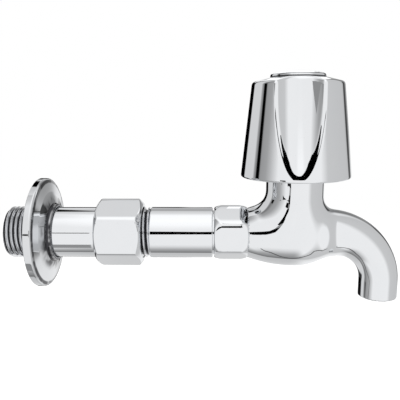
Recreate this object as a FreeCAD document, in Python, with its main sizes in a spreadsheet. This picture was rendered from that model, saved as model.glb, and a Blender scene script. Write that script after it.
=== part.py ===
import FreeCAD
import Part
import math
import operator
import os
import Sketcher

# Wall bib tap on an extension nipple, in millimetres.
# The origin is on the axis of the tube, in the plane of the wall's face.
# +X points out of the wall, along the tube, and +Z points up, along the spindle.

doc = FreeCAD.newDocument("bib_tap")
sheet = doc.addObject("Spreadsheet::Sheet", "Sizes")


# Sizes: each is written once, in the sheet, and formulas are built from them

SIGNS = {"+": operator.add, "-": operator.sub, "*": operator.mul, "/": operator.truediv}


class Size:
    """A length that remembers the formula it is worked out from."""

    def __init__(self, value, formula):
        self.value = value
        self.formula = formula

    def __add__(self, other):
        return joined(self, "+", other)

    def __radd__(self, other):
        return joined(other, "+", self)

    def __sub__(self, other):
        return joined(self, "-", other)

    def __rsub__(self, other):
        return joined(other, "-", self)

    def __mul__(self, other):
        return joined(self, "*", other)

    def __rmul__(self, other):
        return joined(other, "*", self)

    def __truediv__(self, other):
        return joined(self, "/", other)


def as_size(number):
    if isinstance(number, Size):
        return number
    return Size(float(number), repr(float(number)))


def joined(left, sign, right):
    left = as_size(left)
    right = as_size(right)
    value = SIGNS[sign](left.value, right.value)
    return Size(value, f"({left.formula} {sign} {right.formula})")


size_names = []


def size(name, value, meaning):
    size_names.append(name)
    row = len(size_names)
    sheet.set(f"A{row}", meaning)
    sheet.set(f"B{row}", str(value))
    sheet.setAlias(f"B{row}", name)
    return Size(value, f"Sizes.{name}")


# Fits
thread_clearance = size("thread_clearance", 0.05, "radial play of a screwed joint drawn plain")
running_clearance = size("running_clearance", 0.06, "radial play of the spindle and the jumper stem")
loose_clearance = size("loose_clearance", 0.3, "play of a washer in its recess")
face_clearance = size("face_clearance", 0.05, "gap between faces that turn on each other")

# Extension nipple
thread_dia = size("thread_dia", 20.955, "outside of the half inch pipe thread")
wall_thread_reach = size("wall_thread_reach", 11.5, "thread behind the wall's face")
thread_lead_in = size("thread_lead_in", 0.8, "bevel where a thread starts")
tube_dia = size("tube_dia", 20.4, "outside of the plain tube")
tube_length = size("tube_length", 23.8, "wall's face to the large hexagon")
waterway_dia = size("waterway_dia", 14.0, "bore that the water runs through")
socket_hex_flats = size("socket_hex_flats", 24.6, "large hexagon, across flats")
socket_hex_turned = size("socket_hex_turned", 27.6, "large hexagon, turned across its corners")
socket_hex_length = size("socket_hex_length", 20.3, "large hexagon, along the tube")
socket_hex_bevel = size("socket_hex_bevel", 3.2, "bevel at each end of the large hexagon")
socket_face_dia = size("socket_face_dia", 24.5, "end face of the large hexagon")
socket_depth = size("socket_depth", 14.9, "depth of the threaded socket")
socket_washer_thickness = size("socket_washer_thickness", 1.8, "fibre washer in the socket")

# Wall flange
flange_stand = size("flange_stand", 1.1, "wall's face to the flange, which slides on the tube")
flange_dia = size("flange_dia", 44.4, "outside of the wall flange")
flange_rim = size("flange_rim", 1.6, "height of the flange's upright rim")
flange_height = size("flange_height", 7.0, "edge of the flange to the end of the collar")
flange_sheet = size("flange_sheet", 0.8, "thickness of the pressed sheet")
flange_play = size("flange_play", 0.15, "radial play of the flange over the thread")
flange_neck_height = size("flange_neck_height", 5.6, "edge of the flange to the root of the collar")
flange_dome_dia = size("flange_dome_dia", 33.0, "where the dome turns into the flare")
flange_dome_height = size("flange_dome_height", 3.2, "height of the sheet there")

# Tap body, outside
thread_gap = size("thread_gap", 2.6, "thread left showing between hexagon and barrel")
relief_dia = size("relief_dia", 18.6, "groove where the inlet thread runs out")
barrel_dia = size("barrel_dia", 20.6, "outside of the barrel")
barrel_length = size("barrel_length", 25.3, "barrel, from its shoulder to the small hexagon")
barrel_bevel = size("barrel_bevel", 0.4, "bevel on the barrel's shoulder")
body_hex_flats = size("body_hex_flats", 20.2, "small hexagon, across flats")
body_hex_turned = size("body_hex_turned", 22.5, "small hexagon, turned across its corners")
body_hex_length = size("body_hex_length", 14.3, "small hexagon, along the tube")
body_hex_bevel = size("body_hex_bevel", 2.0, "bevel at each end of the small hexagon")
chamber_root_dia = size("chamber_root_dia", 20.4, "casting just after the small hexagon")
neck_back = size("neck_back", 7.15, "small hexagon to the neck")
neck_front = size("neck_front", 4.15, "neck to the waist")
waist_dia = size("waist_dia", 19.2, "waist between chamber and spout")
neck_dia = size("neck_dia", 22.7, "outside of the upright neck")
chamber_bulge = size("chamber_bulge", 4.1, "how much wider than the neck the chamber is")
neck_height = size("neck_height", 29.0, "tube's axis to the top of the neck")
neck_fillet = size("neck_fillet", 4.0, "round between neck and chamber")
spout_reach = size("spout_reach", 35.0, "spindle's axis to the spout's axis")
spout_drop = size("spout_drop", 26.6, "tube's axis down to the mouth")
spout_dia = size("spout_dia", 15.4, "outside of the spout at its mouth")
spout_wall = size("spout_wall", 1.5, "wall of the spout")

# Tap body, inside
seat_height = size("seat_height", 1.0, "tube's axis up to the valve seat")
seat_rim = size("seat_rim", 1.0, "height of the raised seat over the web")
seat_rim_dia = size("seat_rim_dia", 12.6, "outside of the raised seat")
seat_hole_dia = size("seat_hole_dia", 10.0, "hole in the valve seat")
web_thickness = size("web_thickness", 2.4, "web that carries the seat")
upper_chamber_dia = size("upper_chamber_dia", 18.6, "room above the seat")
upper_chamber_height = size("upper_chamber_height", 11.0, "web to the headwork's thread")
inlet_stop = size("inlet_stop", 11.8, "end of the inlet bore before the spindle's axis")
lower_chamber_back = size("lower_chamber_back", 13.3, "room under the seat, towards the wall")
lower_chamber_front = size("lower_chamber_front", 6.2, "room under the seat, towards the spout")
lower_chamber_width = size("lower_chamber_width", 11.0, "width of the room under the seat")
lower_chamber_depth = size("lower_chamber_depth", 8.0, "depth of the room under the web")
outlet_width = size("outlet_width", 10.0, "passage from the upper room to the spout")
outlet_height = size("outlet_height", 7.0, "height of that passage")
outlet_start = size("outlet_start", 9.8, "start of the spout's bore after the spindle's axis")

# Headwork
bonnet_thread_dia = size("bonnet_thread_dia", 16.66, "thread between bonnet and neck")
bonnet_bottom = size("bonnet_bottom", 12.0, "tube's axis to the bonnet's lower end")
bonnet_washer_thickness = size("bonnet_washer_thickness", 1.2, "fibre washer on the neck")
bonnet_hex_flats = size("bonnet_hex_flats", 19.0, "bonnet's hexagon, across flats")
bonnet_hex_height = size("bonnet_hex_height", 6.0, "bonnet's hexagon, along the spindle")
bonnet_top_dia = size("bonnet_top_dia", 13.4, "thread for the gland nut")
bonnet_top_height = size("bonnet_top_height", 6.0, "length of that thread")
spindle_thread_dia = size("spindle_thread_dia", 12.0, "lifting thread of the spindle")
spindle_thread_length = size("spindle_thread_length", 12.0, "length of the lifting thread")
spindle_bore_top = size("spindle_bore_top", 24.2, "tube's axis to the top of the lifting thread's bore")
spindle_stem_dia = size("spindle_stem_dia", 8.0, "stem of the spindle")
spindle_sink = size("spindle_sink", 2.5, "spindle's top under the floor of the button's recess")
packing_bottom = size("packing_bottom", 31.5, "tube's axis to the bottom of the packing's room")
packing_dia = size("packing_dia", 11.0, "outside of the packing")
packing_height = size("packing_height", 5.0, "height of the packing")
slip_washer_thickness = size("slip_washer_thickness", 1.0, "flat ring under the packing")
gland_nut_flats = size("gland_nut_flats", 17.0, "gland nut, across flats")
gland_nut_top = size("gland_nut_top", 1.6, "web on top of the gland nut")
gland_nut_lift = size("gland_nut_lift", 0.8, "gland nut's lower face over the bonnet's hexagon")

# Valve
seat_washer_dia = size("seat_washer_dia", 14.4, "rubber disc")
seat_washer_thickness = size("seat_washer_thickness", 3.2, "thickness of the rubber disc")
jumper_plate_dia = size("jumper_plate_dia", 15.2, "plate that backs the rubber disc")
jumper_plate_thickness = size("jumper_plate_thickness", 2.2, "thickness of that plate")
jumper_stem_dia = size("jumper_stem_dia", 5.0, "stem that stands in the spindle")
jumper_stem_length = size("jumper_stem_length", 10.0, "length of that stem")
jumper_stud_dia = size("jumper_stud_dia", 4.0, "stud through the rubber disc")
retainer_dia = size("retainer_dia", 7.4, "small washer under the rubber disc")
retainer_thickness = size("retainer_thickness", 0.7, "thickness of the small washer")
washer_nut_flats = size("washer_nut_flats", 6.6, "small nut, across flats")
washer_nut_height = size("washer_nut_height", 2.4, "small nut, along the stud")
stud_end = size("stud_end", 0.4, "stud that shows past the small nut")

# Handle
handle_bottom = size("handle_bottom", 23.0, "tube's axis to the handle's lower edge")
handle_height = size("handle_height", 37.0, "height of the handle's flank")
handle_bottom_dia = size("handle_bottom_dia", 43.6, "handle's lower edge")
handle_top_dia = size("handle_top_dia", 35.5, "handle's upper edge")
handle_edge_round = size("handle_edge_round", 0.6, "round on the handle's edges")
handle_crown = size("handle_crown", 1.6, "rise of the handle's top towards the button")
handle_mouth_dia = size("handle_mouth_dia", 34.0, "hollow of the handle at its lower edge")
handle_hollow_dia = size("handle_hollow_dia", 22.4, "hollow of the handle at its ceiling")
hub_bottom = size("hub_bottom", 46.0, "tube's axis to the ceiling of the hollow")
head_room = size("head_room", 4.1, "room for the screw's head under the button")
insert_dia = size("insert_dia", 13.0, "outside of the handle's bush")
scoop_dia = size("scoop_dia", 22.6, "round of a scoop, across")
scoop_arc = size("scoop_arc", 105.0, "radius of a scoop's floor, up and down")
scoop_level = size("scoop_level", 69.8, "tube's axis to the level where the floor is upright")
scoop_floor = size("scoop_floor", 11.3, "spindle's axis to the floor at that level")
cap_dia = size("cap_dia", 22.4, "button on top")
cap_dome = size("cap_dome", 2.6, "rise of the button's dome")
cap_edge = size("cap_edge", 0.5, "upright edge of the button")
cap_plug_dia = size("cap_plug_dia", 18.6, "part of the button that sits in the recess")
cap_plug_depth = size("cap_plug_depth", 3.0, "length of that part")
cap_sheet = size("cap_sheet", 1.2, "wall of the button")
screw_dia = size("screw_dia", 4.0, "shank of the handle screw")
screw_length = size("screw_length", 10.0, "shank of the handle screw")
screw_head_dia = size("screw_head_dia", 8.0, "head of the handle screw")
screw_head_height = size("screw_head_height", 2.4, "head of the handle screw")
screw_slot_width = size("screw_slot_width", 1.2, "slot in the head")
screw_slot_depth = size("screw_slot_depth", 1.2, "slot in the head")
screw_washer_dia = size("screw_washer_dia", 9.4, "lock washer under the head")
screw_washer_thickness = size("screw_washer_thickness", 0.8, "lock washer under the head")

FULL_TURN = 360
SCOOPS = 3
# The groove that makes a scoop swings further than the handle is tall
SCOOP_SWING = 60

# Screwed parts stop at any angle: degrees that the large hexagon and the handle stand past square
SOCKET_HEX_TURN = 4.5
HANDLE_TURN = 4.7

# Places worked out from the sizes
hex_end = tube_length + socket_hex_length
inlet_end = hex_end - socket_depth + socket_washer_thickness
barrel_start = hex_end + thread_gap
body_hex_start = barrel_start + barrel_length
body_hex_end = body_hex_start + body_hex_length
chamber_rise = neck_back + neck_dia / 2
waist_reach = neck_dia / 2 + neck_front
spindle_x = body_hex_end + chamber_rise
waist_x = spindle_x + waist_reach
web_top = seat_height - seat_rim
web_bottom = web_top - web_thickness
plate_bottom = seat_height + seat_washer_thickness
plate_top = plate_bottom + jumper_plate_thickness
spindle_bottom = plate_top + face_clearance
bonnet_hex_bottom = neck_height + bonnet_washer_thickness
bonnet_hex_top = bonnet_hex_bottom + bonnet_hex_height
bonnet_top = bonnet_hex_top + bonnet_top_height
packing_start = packing_bottom + slip_washer_thickness
packing_end = packing_start + packing_height
spindle_hole_dia = spindle_stem_dia + 2 * running_clearance
bonnet_bore_dia = packing_dia + 2 * thread_clearance
handle_top = handle_bottom + handle_height
crown_top = handle_top + handle_crown
hub_top = crown_top - cap_plug_depth - head_room
spindle_top = hub_top - spindle_sink
chamber_dia = neck_dia + chamber_bulge
body_core_dia = body_hex_flats - 2 * barrel_bevel


# Drawing helpers

def new_body(node, along_x=None):
    body = doc.addObject("PartDesign::Body", node)
    body.Label = node
    if along_x is not None:
        body.setExpression(".Placement.Base.x", along_x.formula)
    return body


def new_sketch(body, name, role, offset=None):
    sketch = body.newObject("Sketcher::SketchObject", name)
    planes = [feature for feature in body.Origin.OriginFeatures if feature.Role == role]
    sketch.AttachmentSupport = [(planes[0], "")]
    sketch.MapMode = "FlatFace"
    if offset is not None:
        offset = as_size(offset)
        sketch.AttachmentOffset = FreeCAD.Placement(FreeCAD.Vector(0, 0, offset.value), FreeCAD.Rotation())
        sketch.setExpression(".AttachmentOffset.Base.z", offset.formula)
    return sketch


def bind(sketch, name, constraint, length):
    length = as_size(length)
    index = sketch.addConstraint(Sketcher.Constraint(*constraint, length.value))
    sketch.renameConstraint(index, name)
    if "Sizes" in length.formula:
        sketch.setExpression(f"Constraints.{name}", length.formula)


def pin_point(sketch, name, geometry, vertex, across, up):
    """Hold a point at its distances from the sketch's two axes."""
    for label, kind, axis, length in (("across", "DistanceX", -2, across), ("up", "DistanceY", -1, up)):
        if abs(as_size(length).value) < 1e-9:
            sketch.addConstraint(Sketcher.Constraint("PointOnObject", geometry, vertex, axis))
        else:
            bind(sketch, f"{label}_{name}", (kind, -1, 1, geometry, vertex), length)


def arc_between(start, end, radius, side):
    """The short arc of a radius between two points: side 1 turns left on the way, -1 turns right."""
    chord = end - start
    middle = (start + end) * 0.5
    height = math.sqrt(max(radius * radius - chord.Length * chord.Length / 4, 0.0))
    left = FreeCAD.Vector(-chord.y, chord.x, 0).normalize()
    centre = middle + left * (height * side)
    circle = Part.Circle(centre, FreeCAD.Vector(0, 0, 1), radius)
    first, last = (start, end) if side > 0 else (end, start)
    first_angle = math.atan2(first.y - centre.y, first.x - centre.x)
    last_angle = math.atan2(last.y - centre.y, last.x - centre.x)
    if last_angle < first_angle:
        last_angle += 2 * math.pi
    return Part.ArcOfCircle(circle, first_angle, last_angle)


def outline(sketch, corners):
    """Draw a closed outline of corners (across, up). A corner with (radius, side) starts an arc."""
    spots = [FreeCAD.Vector(as_size(corner[0]).value, as_size(corner[1]).value, 0) for corner in corners]
    first = sketch.GeometryCount
    starts = []
    for number, corner in enumerate(corners):
        start = spots[number]
        end = spots[(number + 1) % len(spots)]
        if len(corner) == 2:
            sketch.addGeometry(Part.LineSegment(start, end))
            starts.append(1)
        else:
            sketch.addGeometry(arc_between(start, end, as_size(corner[2]).value, corner[3]))
            starts.append(1 if corner[3] > 0 else 2)
    for number, corner in enumerate(corners):
        edge = first + number
        following = first + (number + 1) % len(corners)
        joint = (edge, 3 - starts[number], following, starts[(number + 1) % len(corners)])
        sketch.addConstraint(Sketcher.Constraint("Coincident", *joint))
        pin_point(sketch, f"{edge}", edge, starts[number], corner[0], corner[1])
        if len(corner) > 2:
            bind(sketch, f"radius_{edge}", ("Radius", edge), corner[2])


def circle(sketch, across, up, diameter):
    spot = FreeCAD.Vector(as_size(across).value, as_size(up).value, 0)
    radius = as_size(diameter / 2)
    edge = sketch.addGeometry(Part.Circle(spot, FreeCAD.Vector(0, 0, 1), radius.value))
    pin_point(sketch, f"{edge}", edge, 3, across, up)
    bind(sketch, f"radius_{edge}", ("Radius", edge), radius)


def hexagon(sketch, flats, turned=0):
    """A hexagon with upright flats at its sides, turned by some degrees."""
    corner_radius = flats / math.sqrt(3)
    angles = [math.pi / 6 + math.pi / 3 * step + math.radians(turned) for step in range(6)]
    outline(sketch, [(corner_radius * math.cos(angle), corner_radius * math.sin(angle)) for angle in angles])


def turn(body, sketch, about, cut=False):
    kind = "PartDesign::Groove" if cut else "PartDesign::Revolution"
    feature = body.newObject(kind, sketch.Name + "_turned")
    feature.Profile = sketch
    feature.ReferenceAxis = (sketch, ["H_Axis" if about == "X" else "V_Axis"])
    feature.Angle = FULL_TURN
    return feature


def extrude(body, sketch, length, cut=False, backwards=False):
    kind = "PartDesign::Pocket" if cut else "PartDesign::Pad"
    feature = body.newObject(kind, sketch.Name + "_run")
    feature.Profile = sketch
    feature.Length = as_size(length).value
    feature.setExpression("Length", as_size(length).formula)
    feature.Reversed = backwards
    return feature


def round_edges(body, base, wanted, radius):
    """Fillet the edges of a feature that the function wanted picks."""
    doc.recompute()
    names = [f"Edge{number + 1}" for number, edge in enumerate(base.Shape.Edges) if wanted(edge)]
    fillet = body.newObject("PartDesign::Fillet", base.Name + "_rounded")
    fillet.Base = (base, names)
    fillet.Radius = as_size(radius).value
    fillet.setExpression("Radius", as_size(radius).formula)
    return fillet


def ring(node, outer_dia, inner_dia, start, length, along_x=None):
    """A flat ring: about the tube's axis, or about the spindle's when along_x is given."""
    body = new_body(node, along_x)
    role = "YZ_Plane" if along_x is None else "XY_Plane"
    sketch = new_sketch(body, node + "_circles", role, start)
    circle(sketch, 0, 0, outer_dia)
    circle(sketch, 0, 0, inner_dia)
    extrude(body, sketch, length)
    return body


def bevel_hexagon(body, name, about, start, end, bevel, face_dia, turned_dia, flats):
    """Turn a hexagon's corners to a diameter and bevel both of its ends."""
    clear = flats
    along = [start, end, end, end - bevel, start + bevel, start]
    away = [clear, clear, face_dia / 2, turned_dia / 2, turned_dia / 2, face_dia / 2]
    corners = list(zip(along, away)) if about == "X" else list(zip(away, along))
    sketch = new_sketch(body, name, "XZ_Plane")
    outline(sketch, corners)
    return turn(body, sketch, about, cut=True)


# Extension nipple: thread, tube and hexagon with its socket are one turned piece
nipple = new_body("extension_nipple")
nipple_outside = new_sketch(nipple, "nipple_outside", "XZ_Plane")
outline(nipple_outside, [
    (0 - wall_thread_reach, 0),
    (hex_end, 0),
    (hex_end, socket_face_dia / 2),
    (tube_length, socket_face_dia / 2),
    (tube_length, tube_dia / 2),
    (0, tube_dia / 2),
    (0, thread_dia / 2),
    (thread_lead_in - wall_thread_reach, thread_dia / 2),
    (0 - wall_thread_reach, thread_dia / 2 - thread_lead_in),
])
turn(nipple, nipple_outside, "X")
nipple_hexagon = new_sketch(nipple, "nipple_hexagon", "YZ_Plane", tube_length)
hexagon(nipple_hexagon, socket_hex_flats, 0 - SOCKET_HEX_TURN)
extrude(nipple, nipple_hexagon, socket_hex_length)
bevel_hexagon(nipple, "nipple_bevels", "X", tube_length, hex_end, socket_hex_bevel,
              socket_face_dia, socket_hex_turned, socket_hex_flats)
nipple_bore = new_sketch(nipple, "nipple_bore", "XZ_Plane")
outline(nipple_bore, [
    (0 - wall_thread_reach, 0),
    (hex_end, 0),
    (hex_end, thread_dia / 2 + thread_clearance),
    (hex_end - socket_depth, thread_dia / 2 + thread_clearance),
    (hex_end - socket_depth, waterway_dia / 2),
    (0 - wall_thread_reach, waterway_dia / 2),
])
turn(nipple, nipple_bore, "X", cut=True)

# Fibre washer at the bottom of the socket
ring("socket_washer", thread_dia - 2 * loose_clearance, waterway_dia + loose_clearance,
     hex_end - socket_depth, socket_washer_thickness)

# Wall flange: one pressed sheet with an upright rim, a low dome and a flared collar
flange = new_body("wall_flange")
flange_bore = thread_dia / 2 + flange_play
flange_outline = new_sketch(flange, "flange_outline", "XZ_Plane")
flange_dome_x = flange_stand + flange_dome_height
flange_neck_x = flange_stand + flange_neck_height
flange_end_x = flange_stand + flange_height
outline(flange_outline, [
    (flange_stand, flange_dia / 2 - flange_sheet),
    (flange_stand, flange_dia / 2),
    (flange_stand + flange_rim, flange_dia / 2, flange_dia / 2, 1),
    (flange_dome_x, flange_dome_dia / 2, flange_dia / 6, -1),
    (flange_neck_x, flange_bore + flange_sheet),
    (flange_end_x, flange_bore + flange_sheet),
    (flange_end_x, flange_bore),
    (flange_neck_x - flange_sheet, flange_bore, flange_dia / 6 + flange_sheet, 1),
    (flange_dome_x - flange_sheet, flange_dome_dia / 2, flange_dia / 2 - flange_sheet, -1),
    (flange_stand + flange_rim - flange_sheet / 2, flange_dia / 2 - flange_sheet),
])
turn(flange, flange_outline, "X")

# Tap body: casting with inlet thread, barrel, hexagon, chamber, neck and spout
tap = new_body("tap_body")


def swing_radius(run, rise):
    """Radius of the arc that leaves level and climbs by rise over run."""
    return (run * run + rise * rise) / (2 * rise)


SWING_SHARE = 0.66
chamber_radius = chamber_dia / 2
waist_radius = waist_dia / 2
swing_x = spindle_x + SWING_SHARE * waist_reach
swing_height = chamber_radius - SWING_SHARE * (chamber_radius - waist_radius)
back_arc = swing_radius(chamber_rise, chamber_radius - chamber_root_dia / 2)
front_arc = swing_radius(SWING_SHARE * waist_reach, chamber_radius - swing_height)
waist_arc = swing_radius((1 - SWING_SHARE) * waist_reach, swing_height - waist_radius)

tap_outside = new_sketch(tap, "tap_outside", "XZ_Plane")
outline(tap_outside, [
    (inlet_end, 0),
    (waist_x, 0),
    (waist_x, waist_radius, waist_arc, -1),
    (swing_x, swing_height, front_arc, 1),
    (spindle_x, chamber_radius, back_arc, 1),
    (body_hex_end, chamber_root_dia / 2),
    (body_hex_end, body_core_dia / 2),
    (body_hex_start, body_core_dia / 2),
    (body_hex_start, barrel_dia / 2),
    (barrel_start + barrel_bevel, barrel_dia / 2),
    (barrel_start, barrel_dia / 2 - barrel_bevel),
    (barrel_start, relief_dia / 2),
    (hex_end, relief_dia / 2),
    (hex_end, thread_dia / 2),
    (inlet_end + thread_lead_in, thread_dia / 2),
    (inlet_end, thread_dia / 2 - thread_lead_in),
])
turn(tap, tap_outside, "X")
tap_hexagon = new_sketch(tap, "tap_hexagon", "YZ_Plane", body_hex_start)
hexagon(tap_hexagon, body_hex_flats)
extrude(tap, tap_hexagon, body_hex_length)
bevel_hexagon(tap, "tap_bevels", "X", body_hex_start, body_hex_end, body_hex_bevel,
              barrel_dia, body_hex_turned, body_hex_flats)
tap_neck = new_sketch(tap, "tap_neck", "XY_Plane")
circle(tap_neck, spindle_x, 0, neck_dia)
neck_pad = extrude(tap, tap_neck, neck_height)


def is_neck_root(edge):
    """The edge where the neck stands on the chamber."""
    for spot in (edge.firstVertex().Point, edge.valueAt(sum(edge.ParameterRange) / 2), edge.lastVertex().Point):
        away = math.hypot(spot.x - spindle_x.value, spot.y)
        if abs(away - neck_dia.value / 2) > 0.01 or not 1 < spot.z < neck_height.value - 1:
            return False
    return True


round_edges(tap, neck_pad, is_neck_root, neck_fillet)

bend_radius = spout_reach - waist_reach
BEND_STEPS = 6


def spout_circles(name, root_dia, mouth_dia):
    """Circles along the bend, which narrow quickly at first and then hold."""
    sketches = []
    for step in range(BEND_STEPS + 1):
        share = step / BEND_STEPS
        angle = math.pi / 2 * share
        sketch = new_sketch(tap, f"{name}_{step}", "YZ_Plane")
        height = 0 - bend_radius * (1 - math.cos(angle))
        along = waist_x + bend_radius * math.sin(angle)
        spot = FreeCAD.Vector(0, height.value, along.value)
        tilt = FreeCAD.Rotation(FreeCAD.Vector(1, 0, 0), math.degrees(angle))
        sketch.AttachmentOffset = FreeCAD.Placement(spot, tilt)
        sketch.setExpression(".AttachmentOffset.Base.y", height.formula)
        sketch.setExpression(".AttachmentOffset.Base.z", along.formula)
        circle(sketch, 0, 0, mouth_dia + (root_dia - mouth_dia) * (1 - share) * (1 - share))
        sketches.append(sketch)
    return sketches


def loft(kind, name, sketches):
    feature = tap.newObject(kind, name)
    feature.Profile = sketches[0]
    feature.Sections = sketches[1:]
    return feature


loft("PartDesign::AdditiveLoft", "spout_bend", spout_circles("bend_circle", waist_dia, spout_dia))
spout_end = new_sketch(tap, "spout_end", "XY_Plane", 0 - spout_drop)
circle(spout_end, spindle_x + spout_reach, 0, spout_dia)
extrude(tap, spout_end, spout_drop - bend_radius)

# Waterways in the casting
tap_inlet = new_sketch(tap, "tap_inlet", "YZ_Plane", inlet_end)
circle(tap_inlet, 0, 0, waterway_dia)
extrude(tap, tap_inlet, spindle_x - inlet_stop - inlet_end, cut=True, backwards=True)
lower_room = new_sketch(tap, "lower_room", "XY_Plane", web_bottom)
half_width = lower_chamber_width / 2
outline(lower_room, [
    (spindle_x - lower_chamber_back, 0 - half_width),
    (spindle_x + lower_chamber_front, 0 - half_width),
    (spindle_x + lower_chamber_front, half_width),
    (spindle_x - lower_chamber_back, half_width),
])
extrude(tap, lower_room, lower_chamber_depth, cut=True)
upper_room = new_sketch(tap, "upper_room", "XY_Plane", web_top)
circle(upper_room, spindle_x, 0, upper_chamber_dia)
extrude(tap, upper_room, upper_chamber_height, cut=True, backwards=True)
headwork_bore = new_sketch(tap, "headwork_bore", "XY_Plane", web_top)
circle(headwork_bore, spindle_x, 0, bonnet_thread_dia + 2 * thread_clearance)
extrude(tap, headwork_bore, neck_height - web_top, cut=True, backwards=True)
seat_hole = new_sketch(tap, "seat_hole", "XY_Plane", web_top)
circle(seat_hole, spindle_x, 0, seat_hole_dia)
extrude(tap, seat_hole, web_thickness, cut=True)
outlet = new_sketch(tap, "outlet", "XY_Plane", web_top)
half_outlet = outlet_width / 2
outline(outlet, [
    (spindle_x, 0 - half_outlet),
    (waist_x, 0 - half_outlet),
    (waist_x, half_outlet),
    (spindle_x, half_outlet),
])
extrude(tap, outlet, outlet_height, cut=True, backwards=True)
bore_start = new_sketch(tap, "bore_start", "YZ_Plane", spindle_x + outlet_start)
bore_dia = spout_dia - 2 * spout_wall
circle(bore_start, 0, 0, bore_dia)
extrude(tap, bore_start, waist_reach - outlet_start, cut=True, backwards=True)
loft("PartDesign::SubtractiveLoft", "bend_bore", spout_circles("bore_circle", bore_dia, bore_dia))
mouth = new_sketch(tap, "mouth", "XY_Plane", 0 - spout_drop)
circle(mouth, spindle_x + spout_reach, 0, bore_dia)
extrude(tap, mouth, spout_drop - bend_radius, cut=True, backwards=True)
seat = new_sketch(tap, "seat", "XY_Plane", web_top)
circle(seat, spindle_x, 0, seat_rim_dia)
circle(seat, spindle_x, 0, seat_hole_dia)
extrude(tap, seat, seat_rim)

# Headwork: bonnet with its washer, and the packing under the gland nut
bonnet = new_body("bonnet", spindle_x)
bonnet_outside = new_sketch(bonnet, "bonnet_outside", "XZ_Plane")
outline(bonnet_outside, [
    (0, bonnet_bottom),
    (bonnet_thread_dia / 2 - thread_lead_in, bonnet_bottom),
    (bonnet_thread_dia / 2, bonnet_bottom + thread_lead_in),
    (bonnet_thread_dia / 2, bonnet_hex_bottom),
    (bonnet_hex_flats / 2, bonnet_hex_bottom),
    (bonnet_hex_flats / 2, bonnet_hex_top),
    (bonnet_top_dia / 2, bonnet_hex_top),
    (bonnet_top_dia / 2, bonnet_top),
    (0, bonnet_top),
])
turn(bonnet, bonnet_outside, "Z")
bonnet_hexagon = new_sketch(bonnet, "bonnet_hexagon", "XY_Plane", bonnet_hex_bottom)
hexagon(bonnet_hexagon, bonnet_hex_flats)
extrude(bonnet, bonnet_hexagon, bonnet_hex_height)
bonnet_inside = new_sketch(bonnet, "bonnet_inside", "XZ_Plane")
outline(bonnet_inside, [
    (0, bonnet_bottom),
    (spindle_thread_dia / 2 + running_clearance, bonnet_bottom),
    (spindle_thread_dia / 2 + running_clearance, spindle_bore_top),
    (spindle_hole_dia / 2, spindle_bore_top),
    (spindle_hole_dia / 2, packing_bottom),
    (bonnet_bore_dia / 2, packing_bottom),
    (bonnet_bore_dia / 2, bonnet_top),
    (0, bonnet_top),
])
turn(bonnet, bonnet_inside, "Z", cut=True)
ring("bonnet_washer", bonnet_hex_flats, bonnet_thread_dia + loose_clearance,
     neck_height, bonnet_washer_thickness, spindle_x)
ring("slip_washer", packing_dia, spindle_hole_dia, packing_bottom, slip_washer_thickness, spindle_x)
ring("gland_packing", packing_dia, spindle_hole_dia, packing_start, packing_height, spindle_x)

gland_nut = new_body("gland_nut", spindle_x)
gland_start = bonnet_hex_top + gland_nut_lift
gland_web = bonnet_top + face_clearance
gland_top = gland_web + gland_nut_top
gland_hexagon = new_sketch(gland_nut, "gland_hexagon", "XY_Plane", gland_start)
hexagon(gland_hexagon, gland_nut_flats)
extrude(gland_nut, gland_hexagon, gland_top - gland_start)
gland_bore = new_sketch(gland_nut, "gland_bore", "XZ_Plane")
outline(gland_bore, [
    (0, gland_start),
    (bonnet_top_dia / 2 + thread_clearance, gland_start),
    (bonnet_top_dia / 2 + thread_clearance, gland_web),
    (spindle_hole_dia / 2, gland_web),
    (spindle_hole_dia / 2, gland_top),
    (0, gland_top),
])
turn(gland_nut, gland_bore, "Z", cut=True)
gland_nose = new_sketch(gland_nut, "gland_nose", "XY_Plane", packing_end)
circle(gland_nose, 0, 0, packing_dia)
circle(gland_nose, 0, 0, spindle_hole_dia)
extrude(gland_nut, gland_nose, gland_web - packing_end)

# Spindle: lifting thread below, plain stem above, with a hole for the jumper and one for the screw
spindle = new_body("spindle", spindle_x)
spindle_outside = new_sketch(spindle, "spindle_outside", "XZ_Plane")
thread_top = spindle_bottom + spindle_thread_length
jumper_hole = jumper_stem_dia / 2 + running_clearance
jumper_hole_top = plate_top + jumper_stem_length + loose_clearance
outline(spindle_outside, [
    (jumper_hole, spindle_bottom),
    (spindle_thread_dia / 2, spindle_bottom),
    (spindle_thread_dia / 2, thread_top),
    (spindle_stem_dia / 2, thread_top),
    (spindle_stem_dia / 2, spindle_top),
    (screw_dia / 2, spindle_top),
    (screw_dia / 2, spindle_top - screw_length),
    (0, spindle_top - screw_length),
    (0, jumper_hole_top),
    (jumper_hole, jumper_hole_top),
])
turn(spindle, spindle_outside, "Z")

# Valve: jumper with its rubber disc, small washer and nut
jumper = new_body("jumper", spindle_x)
jumper_outline = new_sketch(jumper, "jumper_outline", "XZ_Plane")
nut_bottom = seat_height - retainer_thickness - washer_nut_height
outline(jumper_outline, [
    (0, nut_bottom - stud_end),
    (jumper_stud_dia / 2, nut_bottom - stud_end),
    (jumper_stud_dia / 2, plate_bottom),
    (jumper_plate_dia / 2, plate_bottom),
    (jumper_plate_dia / 2, plate_top),
    (jumper_stem_dia / 2, plate_top),
    (jumper_stem_dia / 2, plate_top + jumper_stem_length),
    (0, plate_top + jumper_stem_length),
])
turn(jumper, jumper_outline, "Z")
stud_hole = jumper_stud_dia + 2 * thread_clearance
ring("seat_washer", seat_washer_dia, stud_hole, seat_height + face_clearance,
     seat_washer_thickness - face_clearance, spindle_x)
ring("washer_retainer", retainer_dia, stud_hole, seat_height + face_clearance - retainer_thickness,
     retainer_thickness, spindle_x)
washer_nut = new_body("washer_nut", spindle_x)
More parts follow.
